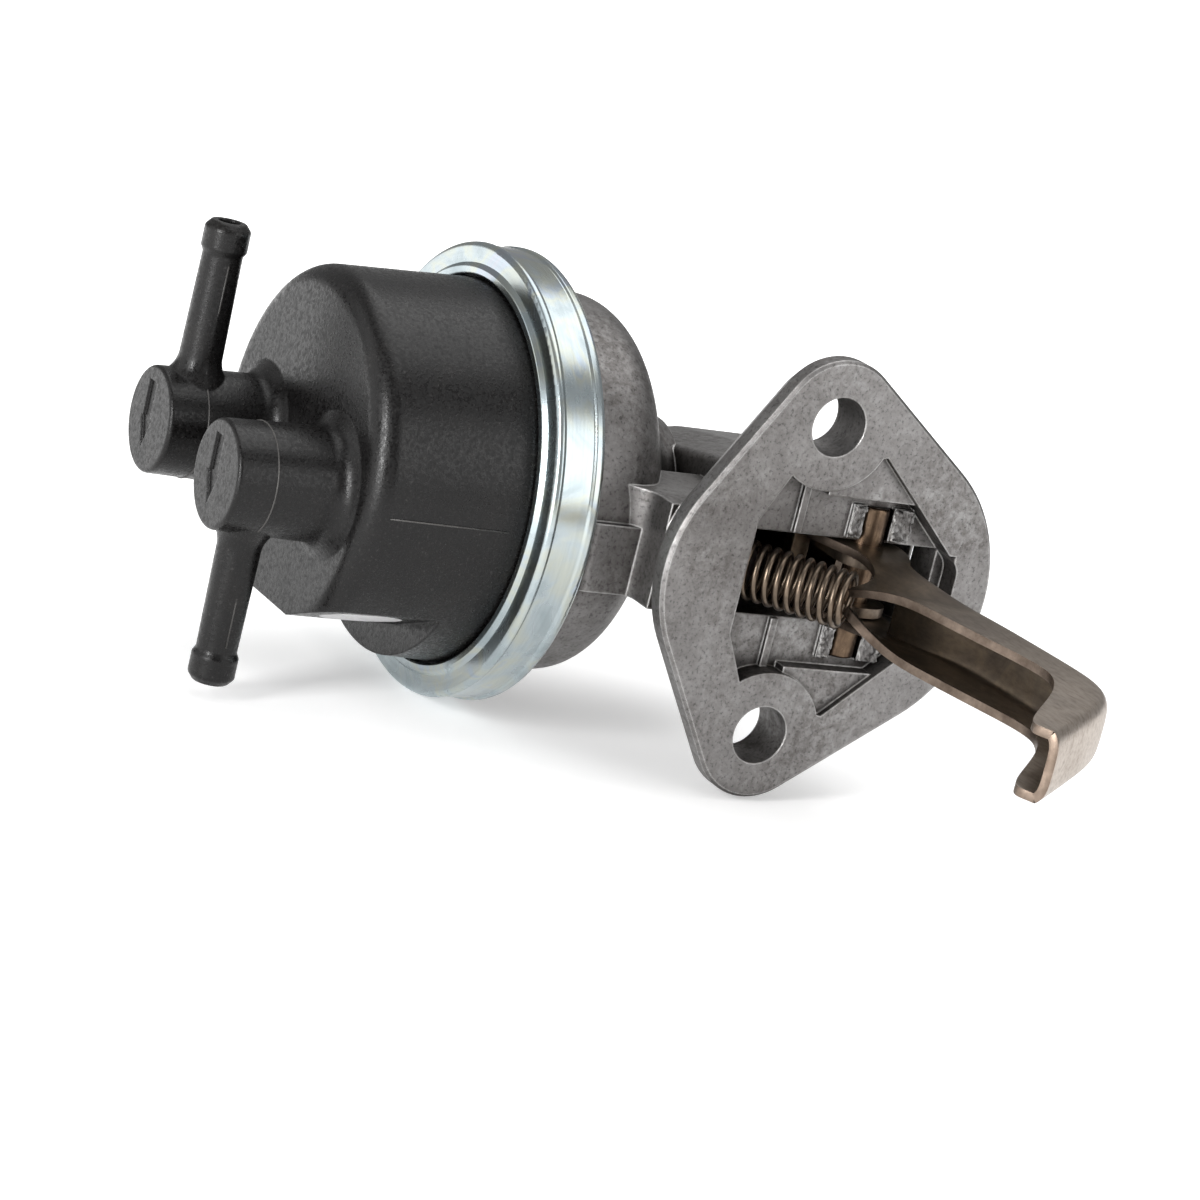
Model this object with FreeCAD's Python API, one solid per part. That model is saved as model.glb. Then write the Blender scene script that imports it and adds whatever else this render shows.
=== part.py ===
import FreeCAD, Part
import math
import os

# Mechanical diaphragm fuel pump, in millimetres.
# Origin: the middle of the bolt line on the flange's mounting face.
# +X is the way the lever sticks out of that face, +Z runs along the bolt line and the pivot pin,
# and the pump's own axis runs along -Y, towards the moulded cover.

V = FreeCAD.Vector

# Mounting flange
BOLT_SPACING = 48.0
BOLT_HOLE_D = 9.0
FLANGE_T = 8.2
FLANGE_END_R = 10.0
FLANGE_FRONT_R = 21.6
FLANGE_FRONT_Y = -1.3
FLANGE_BACK_R = 23.6
FLANGE_BACK_Y = 10.2
FLANGE_EDGE = 0.5
FLANGE_RIM_T = 3.0
FLANGE_TAPER = 3.2
HOLE_BOSS_R = 9.8

# Window in the flange, and the ledges that carry the pin
WINDOW_Y0 = -9.5
WINDOW_Y1 = 27.2
WINDOW_SIDE_Z = 8.7
WINDOW_BACK_Z = 4.6
WINDOW_TOP_Z = 20.3
LEDGE_DEPTH = 3.8
LEDGE_HALF = 6.5
LEDGE_RIB = 0.8
LEDGE_TOP_Z = 13.4
SHELF_DEPTH = 1.2

# Pump axis and body bell
AXIS_X = -43.5
RIM_R = 33.1
BELL_R = RIM_R - 3.9
BELL_WALL = 3.0
BELL_CORNER = 7.0
BELL_SIDE_Y = -18.2
BELL_BACK_Y = -8.0
HUB_R = 13.0
RIM_T = 1.7
BODY_FACE_Y = -33.2

# Arm housing behind the flange
ARM_WALL = 3.0
ARM_SLOT_HALF = 5.1
ARM_FRONT_Y = -5.0
ARM_CROWN_Y = 6.0
ARM_BACK_Y = 24.0
ARM_END_X = -54.5
ARM_END_HALF = 6.6
ARM_FLANGE_HALF = 14.6
ARM_CROWN = 1.9

# Diaphragm group
PLATE_HUB_R = RIM_R - 7.9
CHAMBER_R = PLATE_HUB_R - 1.8
DIAPHRAGM_T = 1.0
REST_DISH = 6.0
DISH_ROOT_R = CHAMBER_R - 0.8
DISC_PLATE_R = 0.735 * DISH_ROOT_R
DISC_PLATE_T = 1.2
ROD_D = 5.0
ROD_HEAD_R = 4.6
ROD_HEAD_T = 2.2
ROD_RIVET_R = 4.0
ROD_RIVET_T = 1.0
SPRING_COIL_R = 0.66 * DISC_PLATE_R
SPRING_WIRE_D = 1.8
SPRING_TURNS = 5.0
RETAINER_R = 0.8 * SPRING_COIL_R

# Valve plate and valves
PLATE_RIM_T = 1.5
PLATE_FLOOR_T = 1.8
CHAMBER_DEPTH = 8.4
VALVE_OFFSET = 12.0
VALVE_CUP_R = 7.2
VALVE_BORE_R = 5.4
VALVE_CUP_H = 9.0
VALVE_SEAT_T = 1.2
VALVE_SEAT_R = 2.6
VALVE_DISC_R = 4.4
VALVE_DISC_T = 1.0
CAGE_T = 1.2
VALVE_WIRE_D = 0.6
VALVE_COIL_R = 2.6
VALVE_TURNS = 3.0

# Moulded cover
COVER_FOOT_R = RIM_R - 3.8
COVER_R = COVER_FOOT_R - 1.0
COVER_WALL = 2.5
COVER_LIP_T = 1.4
COVER_FRONT_Y = -64.0
COVER_CORNER = 3.8
BASE_FLAT = COVER_R - 5.9
FACET_TILT = 21.5
FACET_DISTANCE = COVER_R - 3.95
FLAT_END_Y = -46.0
FLAT_STEP_T = 1.5
LABEL_D = 12.2
LABEL_SHIFT = 7.4
LABEL_T = 0.4
LABEL_Y = -55.0
BOSS_R = 8.1
BOSS_FOOT_R = 11.0
BOSS_END_Y = -81.8
BOSS_SPACING = 27.3
BOSS_Z = -1.0
BOSS_BORE_R = 4.6
ARROW_DEPTH = 0.4
ARROW_SHAFT_HALF = 1.4
ARROW_HEAD_HALF = 2.1
ARROW_SHIFT = -1.0
SPIGOT_Y = -75.7
SPIGOT_REACH = 31.2
SPIGOT_D = 6.1
SPIGOT_BEAD_D = 7.0
SPIGOT_BEAD_L = 4.4
SPIGOT_ROOT_R = 5.5
SPIGOT_BORE_D = 3.4
SEAL_T = 1.6

# Clamp ring
RING_T = 1.1
RING_R = RIM_R + RING_T + 0.5
RING_REAR_Y = -30.3
RING_FRONT_Y = -38.4
RING_BEAD = 0.7

# Lever, link and pin
PIN_X = -5.0
PIN_Y = 13.0
PIN_D = 5.0
PIN_LENGTH = 23.6
SHEET = 1.25
FOLD_R = 2.2
LEVER_HALF = 5.0
EAR_HALF = 6.0
EAR_R = 6.0
NOSE_X = 6.2
LINK_SHEET = 1.5
LINK_GAP = 0.3
LINK_HUB_R = 5.0
PAD_R = 2.0
LINK_DROP = 3.0
RETURN_COIL_R = 4.0
RETURN_WIRE_D = 1.0
RETURN_TURNS = 11.0
RETURN_LENGTH = 18.0
RETURN_ANGLE = 48.0
RETURN_END_X = 7.2
RETURN_END_Y = 4.4

# Sides of the wire in the springs
WIRE_SIDES = 12

# Named clearances
RUNNING = 0.05
SEATED = 0.3
SNUG = 0.05


def rounded(corners, place):
    """Closed wire through (u, v) or (u, v, radius) corners, each radius made a tangent arc."""
    count = len(corners)
    spans = []
    for i, corner in enumerate(corners):
        here = V(corner[0], corner[1], 0)
        radius = corner[2] if len(corner) > 2 else 0
        if not radius:
            spans.append((here, None, here))
            continue
        before = V(*corners[i - 1][:2], 0) - here
        after = V(*corners[(i + 1) % count][:2], 0) - here
        before.normalize()
        after.normalize()
        half = before.getAngle(after) / 2
        middle = (before + after).normalize()
        reach = radius / math.tan(half)
        crown = here + middle * (radius / math.sin(half) - radius)
        spans.append((here + before * reach, crown, here + after * reach))
    edges = []
    for i, (start, crown, end) in enumerate(spans):
        if crown is not None:
            edges.append(Part.Arc(place(start), place(crown), place(end)).toShape())
        following = spans[(i + 1) % count][0]
        if (following - end).Length > 1e-6:
            edges.append(Part.makeLine(place(end), place(following)))
    return Part.Wire(edges)


def belt(circles):
    """Corner list for the outline of a belt round (u, v, radius) circles, taken clockwise."""
    touches = []
    count = len(circles)
    for i in range(count):
        u0, v0, r0 = circles[i]
        u1, v1, r1 = circles[(i + 1) % count]
        along = math.atan2(v1 - v0, u1 - u0)
        span = math.hypot(u1 - u0, v1 - v0)
        normal = along + math.acos((r0 - r1) / span)
        n = V(math.cos(normal), math.sin(normal), 0)
        touches.append((V(u0, v0, 0) + n * r0, V(u1, v1, 0) + n * r1, normal))
    return touches


def belt_wire(circles, place):
    """Closed wire of tangent lines and arcs round the circles."""
    touches = belt(circles)
    edges = []
    for i, (start, end, normal) in enumerate(touches):
        edges.append(Part.makeLine(place(start), place(end)))
        u, v, r = circles[(i + 1) % len(circles)]
        following, _, next_normal = touches[(i + 1) % len(touches)]
        turn = (normal - next_normal) % (2 * math.pi)
        middle = normal - turn / 2
        crown = V(u, v, 0) + V(math.cos(middle), math.sin(middle), 0) * r
        edges.append(Part.Arc(place(end), place(crown), place(following)).toShape())
    return Part.Wire(edges)


def prism(wire, way):
    return Part.Face(wire).extrude(way)


def prism_x(corners, x0, x1):
    """Outline given as (y, z) corners."""
    return prism(rounded(corners, lambda p: V(x0, p.x, p.y)), V(x1 - x0, 0, 0))


def prism_y(corners, y0, y1):
    """Outline given as (x, z) corners."""
    return prism(rounded(corners, lambda p: V(p.x, y0, p.y)), V(0, y1 - y0, 0))


def prism_z(corners, z0, z1):
    """Outline given as (x, y) corners."""
    return prism(rounded(corners, lambda p: V(p.x, p.y, z0)), V(0, 0, z1 - z0))


def turned(corners, x=AXIS_X, z=0.0):
    """Turned about an axis along Y, from (radius, y) corners."""
    wire = rounded(corners, lambda p: V(x + p.x, p.y, z))
    return Part.Face(wire).revolve(V(x, 0, z), V(0, 1, 0), 360)


def turned_z(corners, x, y):
    """Turned about an axis along Z, from (radius, z) corners."""
    wire = rounded(corners, lambda p: V(x + p.x, y, p.y))
    return Part.Face(wire).revolve(V(x, y, 0), V(0, 0, 1), 360)


def rod_y(radius, y0, y1, x=AXIS_X, z=0.0):
    return Part.makeCylinder(radius, abs(y1 - y0), V(x, min(y0, y1), z), V(0, 1, 0))


def rod_z(radius, z0, z1, x, y):
    return Part.makeCylinder(radius, abs(z1 - z0), V(x, y, min(z0, z1)))


def rod_x(radius, x0, x1, y, z):
    return Part.makeCylinder(radius, abs(x1 - x0), V(min(x0, x1), y, z), V(1, 0, 0))


def block(x0, x1, y0, y1, z0, z1):
    return Part.makeBox(x1 - x0, y1 - y0, z1 - z0, V(x0, y0, z0))


def mirrored(shape):
    """The same shape on the other side of the middle plane."""
    return shape.mirror(V(0, 0, 0), V(0, 0, 1))


def coil(radius, wire_d, turns, length, foot, way):
    """Wire wound round an axis; length is from the first to the last wire centre."""
    helix = Part.makeHelix(length / turns, length, radius)
    corners = []
    for i in range(WIRE_SIDES + 1):
        angle = 2 * math.pi * i / WIRE_SIDES
        corners.append(V(radius + wire_d / 2 * math.cos(angle), 0, wire_d / 2 * math.sin(angle)))
    spring = Part.Wire(helix).makePipeShell([Part.makePolygon(corners)], True, True)
    turn = FreeCAD.Rotation(V(0, 0, 1), way)
    spring.Placement = FreeCAD.Placement(foot, turn)
    return spring


def half_space_below(distance, tilt, y0, y1):
    """Everything past a plane at this distance from the pump axis, leaning towards +X."""
    size = 2 * COVER_FOOT_R
    slab = Part.makeBox(2 * size, y1 - y0, size, V(-size, y0, -size - distance))
    slab.rotate(V(0, 0, 0), V(0, 1, 0), -tilt)
    slab.translate(V(AXIS_X, 0, 0))
    return slab


# Places that follow from the sizes above
PLATE_BACK_Y = BODY_FACE_Y - DIAPHRAGM_T
DISH_BACK_Y = BODY_FACE_Y - REST_DISH
DISH_FRONT_Y = DISH_BACK_Y - DIAPHRAGM_T
PLATE_RIM_Y = PLATE_BACK_Y - PLATE_RIM_T
LIP_FRONT_Y = PLATE_RIM_Y - COVER_LIP_T
CHAMBER_FLOOR_Y = PLATE_BACK_Y - CHAMBER_DEPTH
PLATE_FRONT_Y = CHAMBER_FLOOR_Y - PLATE_FLOOR_T
COVER_CEILING_Y = COVER_FRONT_Y + COVER_WALL + 0.7
FRONT_BOSS_X = AXIS_X + BOSS_SPACING / 2
REAR_BOSS_X = AXIS_X - BOSS_SPACING / 2
CUP_FRONT_Y = CHAMBER_FLOOR_Y - VALVE_CUP_H
FLOOR_Y = BELL_BACK_Y - 4.6
ARM = PIN_X - AXIS_X
PAD_Y = PIN_Y - LINK_DROP
HEAD_Y = PAD_Y + PAD_R + SEATED
SPRING_WAY = V(math.sin(math.radians(RETURN_ANGLE)), math.cos(math.radians(RETURN_ANGLE)), 0)
SPRING_END = V(RETURN_END_X, RETURN_END_Y, 0)
SPRING_FOOT = SPRING_END - SPRING_WAY * RETURN_LENGTH


def flange():
    """Four-cornered plate with a short straight rim and a tapered back."""
    circles = [
        (0, BOLT_SPACING / 2, FLANGE_END_R),
        (FLANGE_BACK_Y, 0, FLANGE_BACK_R),
        (0, -BOLT_SPACING / 2, FLANGE_END_R),
        (FLANGE_FRONT_Y, 0, FLANGE_FRONT_R),
    ]
    narrow = [(y, z, r - FLANGE_TAPER) for y, z, r in circles]
    rim = prism(belt_wire(circles, lambda p: V(-FLANGE_RIM_T, p.x, p.y)), V(FLANGE_RIM_T, 0, 0))
    rim = rim.makeChamfer(FLANGE_EDGE, [e for e in rim.Edges if e.BoundBox.XMin > -0.01])
    wide_wire = belt_wire(circles, lambda p: V(-FLANGE_RIM_T, p.x, p.y))
    back_wire = belt_wire(narrow, lambda p: V(-FLANGE_T, p.x, p.y))
    return rim.fuse(Part.makeLoft([wide_wire, back_wire], True, True))


def bolt_hole(z):
    """Round hole right through the flange."""
    return rod_x(BOLT_HOLE_D / 2, -FLANGE_T - 30, 1, 0, z)


def bell():
    """Outer form of the diaphragm bell, with its clamped rim and the hub towards the arm."""
    slope = (BELL_R, BELL_SIDE_Y, BELL_CORNER)
    return turned([
        (0, BODY_FACE_Y), (RIM_R, BODY_FACE_Y), (RIM_R, BODY_FACE_Y + RIM_T, 0.4),
        (BELL_R, BODY_FACE_Y + RIM_T, 0.6), slope, (HUB_R, BELL_BACK_Y, 3.0),
        (HUB_R - 1.0, ARM_FRONT_Y + 1), (0, ARM_FRONT_Y + 1),
    ])


def bell_hollow():
    """Spring space behind the diaphragm, and the guide bore of the pull rod."""
    inner = BELL_R - BELL_WALL
    space = turned([
        (0, BODY_FACE_Y - 1), (inner, BODY_FACE_Y - 1),
        (inner, BELL_SIDE_Y - BELL_WALL, BELL_CORNER - BELL_WALL),
        (SPRING_COIL_R + 5, FLOOR_Y, 1.0), (0, FLOOR_Y),
    ])
    guide = rod_y(ROD_D / 2 + RUNNING, FLOOR_Y - 1, 0)
    return space.fuse(guide)


def arm_section(x, half):
    """Crowned outline of the arm housing at one place along it."""
    high = half + ARM_CROWN
    back = ARM_BACK_Y
    corners = [
        (ARM_FRONT_Y, -half, 1.2), (ARM_FRONT_Y, half, 1.2), (ARM_CROWN_Y, high, 8.0), (back, high, 5.0),
        (back, -high, 5.0), (ARM_CROWN_Y, -high, 8.0),
    ]
    return rounded(corners, lambda p: V(x, p.x, p.y))


def arm_housing():
    """Tapered, crowned box that covers the link, from the flange to past the pump axis."""
    sections = [arm_section(-FLANGE_T + 1, ARM_FLANGE_HALF), arm_section(ARM_END_X, ARM_END_HALF)]
    housing = Part.makeLoft(sections, True, True)
    ends = prism_z([
        (1, ARM_FRONT_Y - 1), (ARM_END_X, ARM_FRONT_Y - 1, 2.0), (ARM_END_X, ARM_BACK_Y, 9.0),
        (1, ARM_BACK_Y + 3),
    ], -30, 30)
    plan = prism_y([
        (1, -30), (1, 30), (AXIS_X - 3, 30), (ARM_END_X, ARM_END_HALF, 4.0),
        (ARM_END_X, -ARM_END_HALF, 4.0), (AXIS_X - 3, -30),
    ], ARM_FRONT_Y - 2, ARM_BACK_Y + 4)
    return housing.common(ends).common(plan)


def neck():
    """Web between the bell and the flange, and the pad below it on the bell."""
    saddle = prism_z([
        (-FLANGE_T + 1, -20.0), (-12.6, -20.0, 4.0), (-17.0, -25.0), (-26.0, -25.0), (-26.0, ARM_FRONT_Y + 3),
        (-FLANGE_T + 1, ARM_FRONT_Y + 3),
    ], -8.3, 8.0)
    pad = prism_z([
        (-12.9, -29.0, 1.5), (-12.9, -19.0), (-26.0, -19.0), (-26.0, -29.0),
    ], -8.3, 2.2)
    return saddle.fuse(pad)


def window():
    """Pocket down to the ledges, with a shallow shelf beside each bolt boss."""
    outline = [
        (WINDOW_Y0, -WINDOW_SIDE_Z, 1.2), (WINDOW_Y0, WINDOW_SIDE_Z, 1.2), (-5.0, 17.5),
        (9.8, WINDOW_TOP_Z), (WINDOW_Y1, WINDOW_BACK_Z, 3.0),
        (WINDOW_Y1, -WINDOW_BACK_Z, 3.0), (9.8, -WINDOW_TOP_Z), (-5.0, -17.5),
    ]
    shallow = prism_x(outline, -SHELF_DEPTH, 1)
    deep = prism_x(outline, -LEDGE_DEPTH, 1)
    corner = [(2.0, LEDGE_TOP_Z), (40.0, LEDGE_TOP_Z), (40.0, 30.0), (2.0, 30.0)]
    shelf = prism_x(corner, -LEDGE_DEPTH - 1, 2)
    pocket = shallow.fuse(deep.cut(shelf).cut(mirrored(shelf)))
    for z in (BOLT_SPACING / 2, -BOLT_SPACING / 2):
        pocket = pocket.cut(rod_x(HOLE_BOSS_R, -LEDGE_DEPTH - 1, 2, 0, z))
    return pocket


def mechanism_space():
    """Space between the ledges for the lever, and the slot for the link beyond it."""
    mouth = prism_z([
        (1, WINDOW_Y0 + 0.3), (1, WINDOW_Y1 - 0.6), (-19.0, ARM_BACK_Y - ARM_WALL, 3.0),
        (-19.0, -6.5, 2.0), (-12.5, -12.3, 2.0), (-3.0, -12.3, 1.0), (-0.8, WINDOW_Y0 + 0.3),
    ], -LEDGE_HALF, LEDGE_HALF)
    far = ARM_END_X + ARM_WALL
    front, back = ARM_FRONT_Y + ARM_WALL, ARM_BACK_Y - ARM_WALL
    slot = prism_z([
        (-15.0, front), (-15.0, back), (far, back, 6.0), (far, front, 2.0),
    ], -ARM_SLOT_HALF, ARM_SLOT_HALF)
    end = prism_y([
        (0, -ARM_SLOT_HALF), (0, ARM_SLOT_HALF), (far, ARM_SLOT_HALF, 4.0), (far, -ARM_SLOT_HALF, 4.0),
    ], ARM_FRONT_Y, ARM_BACK_Y)
    return mouth.fuse(slot.common(end))


def pin_notch():
    """Notch across both ledges, open to the mounting face, that the pin is laid in."""
    half = PIN_LENGTH / 2 + SNUG
    radius = PIN_D / 2 + SNUG
    notch = rod_z(radius, -half, half, PIN_X, PIN_Y)
    way_in = block(PIN_X, 1, PIN_Y - radius, PIN_Y + radius, -half, half)
    return notch.fuse(way_in)


def ledge_details():
    """Rib across each ledge, and the metal staked over the pin on both its sides."""
    inner = LEDGE_HALF
    parts = []
    floor = -LEDGE_DEPTH
    top = floor + LEDGE_RIB
    parts.append(prism_y([(floor - 1, inner), (top, inner + 0.2), (top, 16.0), (floor - 1, 16.0)], -1.1, 0.1))
    reach = PIN_D / 2 + SNUG
    for y0, y1 in ((PIN_Y - reach - 2.2, PIN_Y - reach), (PIN_Y + reach, PIN_Y + reach + 3.4)):
        parts.append(block(floor - 1, floor + 0.7, y0, y1, inner + 0.3, inner + 5.6))
    return parts + [mirrored(p) for p in parts]


def spring_seat():
    """Pad and short spigot that the return spring stands on, cast into the front wall."""
    back = SPRING_FOOT - SPRING_WAY * (RETURN_WIRE_D / 2 + 9)
    pad = Part.makeCylinder(RETURN_COIL_R + 1.3, 9 - 0.05, back, SPRING_WAY)
    spigot = Part.makeCylinder(RETURN_COIL_R - RETURN_WIRE_D / 2 - 0.3, 9 + 2.6, back, SPRING_WAY)
    return pad.fuse(spigot)


def pump_body():
    """One casting: flange, neck, arm housing and bell."""
    body = flange().fuse(bell()).fuse(arm_housing()).fuse(neck())
    body = body.cut(bell_hollow()).cut(mechanism_space()).cut(window())
    seat = spring_seat().common(block(-17.5, 0, -14, 5, -LEDGE_HALF, LEDGE_HALF))
    body = body.fuse(seat)
    near = WINDOW_Y0 + 0.5
    trimmed = prism_x([(near, -15.5), (near, 15.5), (19.5, 15.5), (19.5, -15.5)], -LEDGE_DEPTH - 2, 0)
    for detail in ledge_details():
        detail = detail.common(trimmed)
        for z in (BOLT_SPACING / 2, -BOLT_SPACING / 2):
            detail = detail.cut(rod_x(HOLE_BOSS_R - 0.1, -30, 2, 0, z))
        body = body.fuse(detail)
    body = body.cut(pin_notch())
    body = body.cut(bolt_hole(-BOLT_SPACING / 2)).cut(bolt_hole(BOLT_SPACING / 2))
    return body.removeSplitter()


def clamp_ring():
    """Steel ring rolled over the body rim and the cover lip, with a curled front edge."""
    r, t = RING_R, RING_T
    front, rear = RING_FRONT_Y, RING_REAR_Y
    bead = COVER_FOOT_R + 0.3
    inside = RIM_R + 0.15
    return turned([
        (BELL_R + 1.0, rear), (r, rear, 1.0), (r, rear - 1.6, 0.3), (r - 0.3, rear - 2.0, 0.3),
        (r - 0.3, front + 1.4, 0.5), (r, front + 1.0, 0.4), (r, front, 0.9), (bead + 1.9, front),
        (bead + 1.3, front - RING_BEAD, 0.3), (bead, front - RING_BEAD, 0.4), (bead, front + t - 0.1),
        (inside, front + t - 0.1), (inside, rear - t), (BELL_R + 1.0, rear - t),
    ])


def spigot(x, way):
    """Hose spigot with its bead and flared root; way is +1 up, -1 down."""
    r, bead = SPIGOT_D / 2, SPIGOT_BEAD_D / 2
    tip = SPIGOT_REACH
    step = tip - SPIGOT_BEAD_L
    shape = turned_z([
        (0, 0), (SPIGOT_ROOT_R, 0), (SPIGOT_ROOT_R, 6.0), (r + 0.25, 9.5, 4.0), (r, step - 0.5, 1.0),
        (bead, step + 0.3, 0.5), (bead, tip - 1.0, 0.8), (r - 0.4, tip, 0.3), (0, tip),
    ], x, SPIGOT_Y)
    return place_spigot(shape, way)


def place_spigot(shape, way):
    if way < 0:
        shape = mirrored(shape)
    shape.translate(V(0, 0, BOSS_Z))
    return shape


def boss(x):
    """Round boss on the cover's face, flared into it."""
    front = COVER_FRONT_Y
    return turned([
        (0, front + 1), (BOSS_FOOT_R, front + 1), (BOSS_FOOT_R, front), (BOSS_R + 0.5, front - 1.2, 2.6),
        (BOSS_R, BOSS_END_Y, 0.6), (0, BOSS_END_Y),
    ], x, BOSS_Z)


def flow_arrow(x):
    """Shallow recess in a boss's end: an arrow that points the way the fuel flows."""
    middle = x + ARROW_SHIFT
    shaft, head = ARROW_SHAFT_HALF, ARROW_HEAD_HALF
    top, step, tip = BOSS_Z + 5.6, BOSS_Z - 0.1, BOSS_Z - 4.8
    return prism_y([
        (middle - shaft, top), (middle + shaft, top), (middle + shaft, step), (middle + head, step),
        (middle, tip), (middle - head, step), (middle - shaft, step),
    ], BOSS_END_Y - 1, BOSS_END_Y + ARROW_DEPTH)


def cover_shell():
    """Outer form of the cover, and its hollow."""
    outer = turned([
        (0, PLATE_RIM_Y), (RIM_R, PLATE_RIM_Y), (RIM_R, LIP_FRONT_Y), (COVER_FOOT_R, LIP_FRONT_Y),
        (COVER_R, COVER_FRONT_Y, COVER_CORNER), (0, COVER_FRONT_Y),
    ])
    inner_r = COVER_R - COVER_WALL
    mouth_r = PLATE_HUB_R + 3.0
    groove_y = PLATE_RIM_Y - SEAL_T - 0.4
    inner = turned([
        (0, PLATE_RIM_Y + 1), (mouth_r, PLATE_RIM_Y + 1), (mouth_r, groove_y),
        (inner_r, groove_y), (inner_r - 0.4, COVER_CEILING_Y, 2.0), (0, COVER_CEILING_Y),
    ])
    front, end = COVER_FRONT_Y - 1, FLAT_END_Y
    for distance, tilt in ((BASE_FLAT, 0), (FACET_DISTANCE, FACET_TILT)):
        outer = outer.cut(half_space_below(distance, tilt, front, end))
        inner = inner.cut(half_space_below(distance - COVER_WALL, tilt, front, end + FLAT_STEP_T))
    return outer, inner


def label_seat():
    """Centre and outward direction of the round label on its facet."""
    angle = math.radians(FACET_TILT)
    way = V(math.sin(angle), 0, -math.cos(angle))
    along = V(math.cos(angle), 0, math.sin(angle))
    return V(AXIS_X, LABEL_Y, 0) + way * FACET_DISTANCE + along * LABEL_SHIFT, way


def top_cover():
    """One moulding: shell, dividing wall, two bosses and two spigots."""
    outer, inner = cover_shell()
    shell = outer.fuse(boss(FRONT_BOSS_X)).fuse(boss(REAR_BOSS_X))
    shell = shell.fuse(spigot(FRONT_BOSS_X, -1)).fuse(spigot(REAR_BOSS_X, 1))
    wall = block(AXIS_X - 1.0, AXIS_X + 1.0, COVER_CEILING_Y - 1, PLATE_FRONT_Y - SNUG, -COVER_R, COVER_R)
    shell = shell.cut(inner).fuse(wall.common(inner))
    for x, way in ((FRONT_BOSS_X, -1), (REAR_BOSS_X, 1)):
        shell = shell.cut(rod_y(BOSS_BORE_R, COVER_CEILING_Y + 1, SPIGOT_Y - SPIGOT_BORE_D, x, BOSS_Z))
        bore = rod_z(SPIGOT_BORE_D / 2, 0, SPIGOT_REACH + 1, x, SPIGOT_Y)
        shell = shell.cut(place_spigot(bore, way)).cut(flow_arrow(x))
    foot, way = label_seat()
    shell = shell.cut(Part.makeCylinder(LABEL_D / 2 + SNUG, 5, foot - way * LABEL_T, way))
    return shell.removeSplitter()


def cover_label():
    foot, way = label_seat()
    return Part.makeCylinder(LABEL_D / 2, LABEL_T, foot - way * (LABEL_T - SNUG), way)


def cover_seal():
    """Square-section seal between the valve plate's hub and the cover."""
    inner, outer = PLATE_HUB_R + 0.3, PLATE_HUB_R + 2.8
    front, back = PLATE_RIM_Y - SEAL_T, PLATE_RIM_Y - SNUG
    return turned([(inner, front, 0.3), (outer, front, 0.3), (outer, back), (inner, back)])


def valve_plate():
    """Plate with the pumping chamber behind it and two valve cups in front."""
    plate = turned([
        (0, PLATE_BACK_Y), (RIM_R, PLATE_BACK_Y), (RIM_R, PLATE_RIM_Y), (PLATE_HUB_R, PLATE_RIM_Y),
        (PLATE_HUB_R, PLATE_FRONT_Y, 1.0), (0, PLATE_FRONT_Y),
    ])
    plate = plate.cut(turned([
        (0, PLATE_BACK_Y + 1), (CHAMBER_R, PLATE_BACK_Y + 1), (CHAMBER_R - 0.6, CHAMBER_FLOOR_Y, 1.2),
        (0, CHAMBER_FLOOR_Y),
    ]))
    for x, _ in valve_places():
        plate = plate.fuse(rod_y(VALVE_CUP_R, CUP_FRONT_Y, CHAMBER_FLOOR_Y, x))
    for x, inlet in valve_places():
        front_wall = VALVE_SEAT_T if inlet else -1.0
        back_wall = -1.0 if inlet else VALVE_SEAT_T
        plate = plate.cut(rod_y(VALVE_BORE_R, CUP_FRONT_Y + front_wall, CHAMBER_FLOOR_Y - back_wall, x))
        plate = plate.cut(rod_y(VALVE_SEAT_R, CUP_FRONT_Y - 1, CHAMBER_FLOOR_Y + 1, x))
    return plate.removeSplitter()


def valve_places():
    """Centre of each valve, and whether it is the inlet."""
    return ((AXIS_X - VALVE_OFFSET, True), (AXIS_X + VALVE_OFFSET, False))


def valve_parts(x, inlet):
    """Disc, spring and cage of one valve, stacked from its seat."""
    seat = CUP_FRONT_Y + VALVE_SEAT_T if inlet else CHAMBER_FLOOR_Y - VALVE_SEAT_T
    far = CHAMBER_FLOOR_Y if inlet else CUP_FRONT_Y
    way = 1 if inlet else -1
    disc_near = seat + way * SEATED
    disc_far = disc_near + way * VALVE_DISC_T
    cage_near = far - way * (CAGE_T + 0.3)
    disc = rod_y(VALVE_DISC_R, disc_near, disc_far, x)
    cage = rod_y(VALVE_BORE_R - SNUG, cage_near, cage_near + way * CAGE_T, x)
    for turn in (45, 135, 225, 315):
        hole = V(3.6, 0, 0)
        hole = FreeCAD.Rotation(V(0, 1, 0), turn).multVec(hole)
        cage = cage.cut(rod_y(0.9, CUP_FRONT_Y - 5, CHAMBER_FLOOR_Y + 5, x + hole.x, hole.z))
    start = disc_far + way * (VALVE_WIRE_D / 2 + SNUG)
    end = cage_near - way * (VALVE_WIRE_D / 2 + SNUG)
    spring = coil(VALVE_COIL_R, VALVE_WIRE_D, VALVE_TURNS, abs(end - start), V(x, start, 0), V(0, way, 0))
    return disc, spring, cage


def inlet_strainer():
    """Moulded disc with a ring of holes, over the inlet valve."""
    x = AXIS_X - VALVE_OFFSET
    back = CUP_FRONT_Y - SNUG
    disc = rod_y(VALVE_CUP_R, back, back - 0.9, x)
    for i in range(8):
        angle = 2 * math.pi * i / 8
        across, up = 4.4 * math.cos(angle), 4.4 * math.sin(angle)
        disc = disc.cut(rod_y(1.1, back - 3, back + 1, x + across, up))
    return disc


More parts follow.
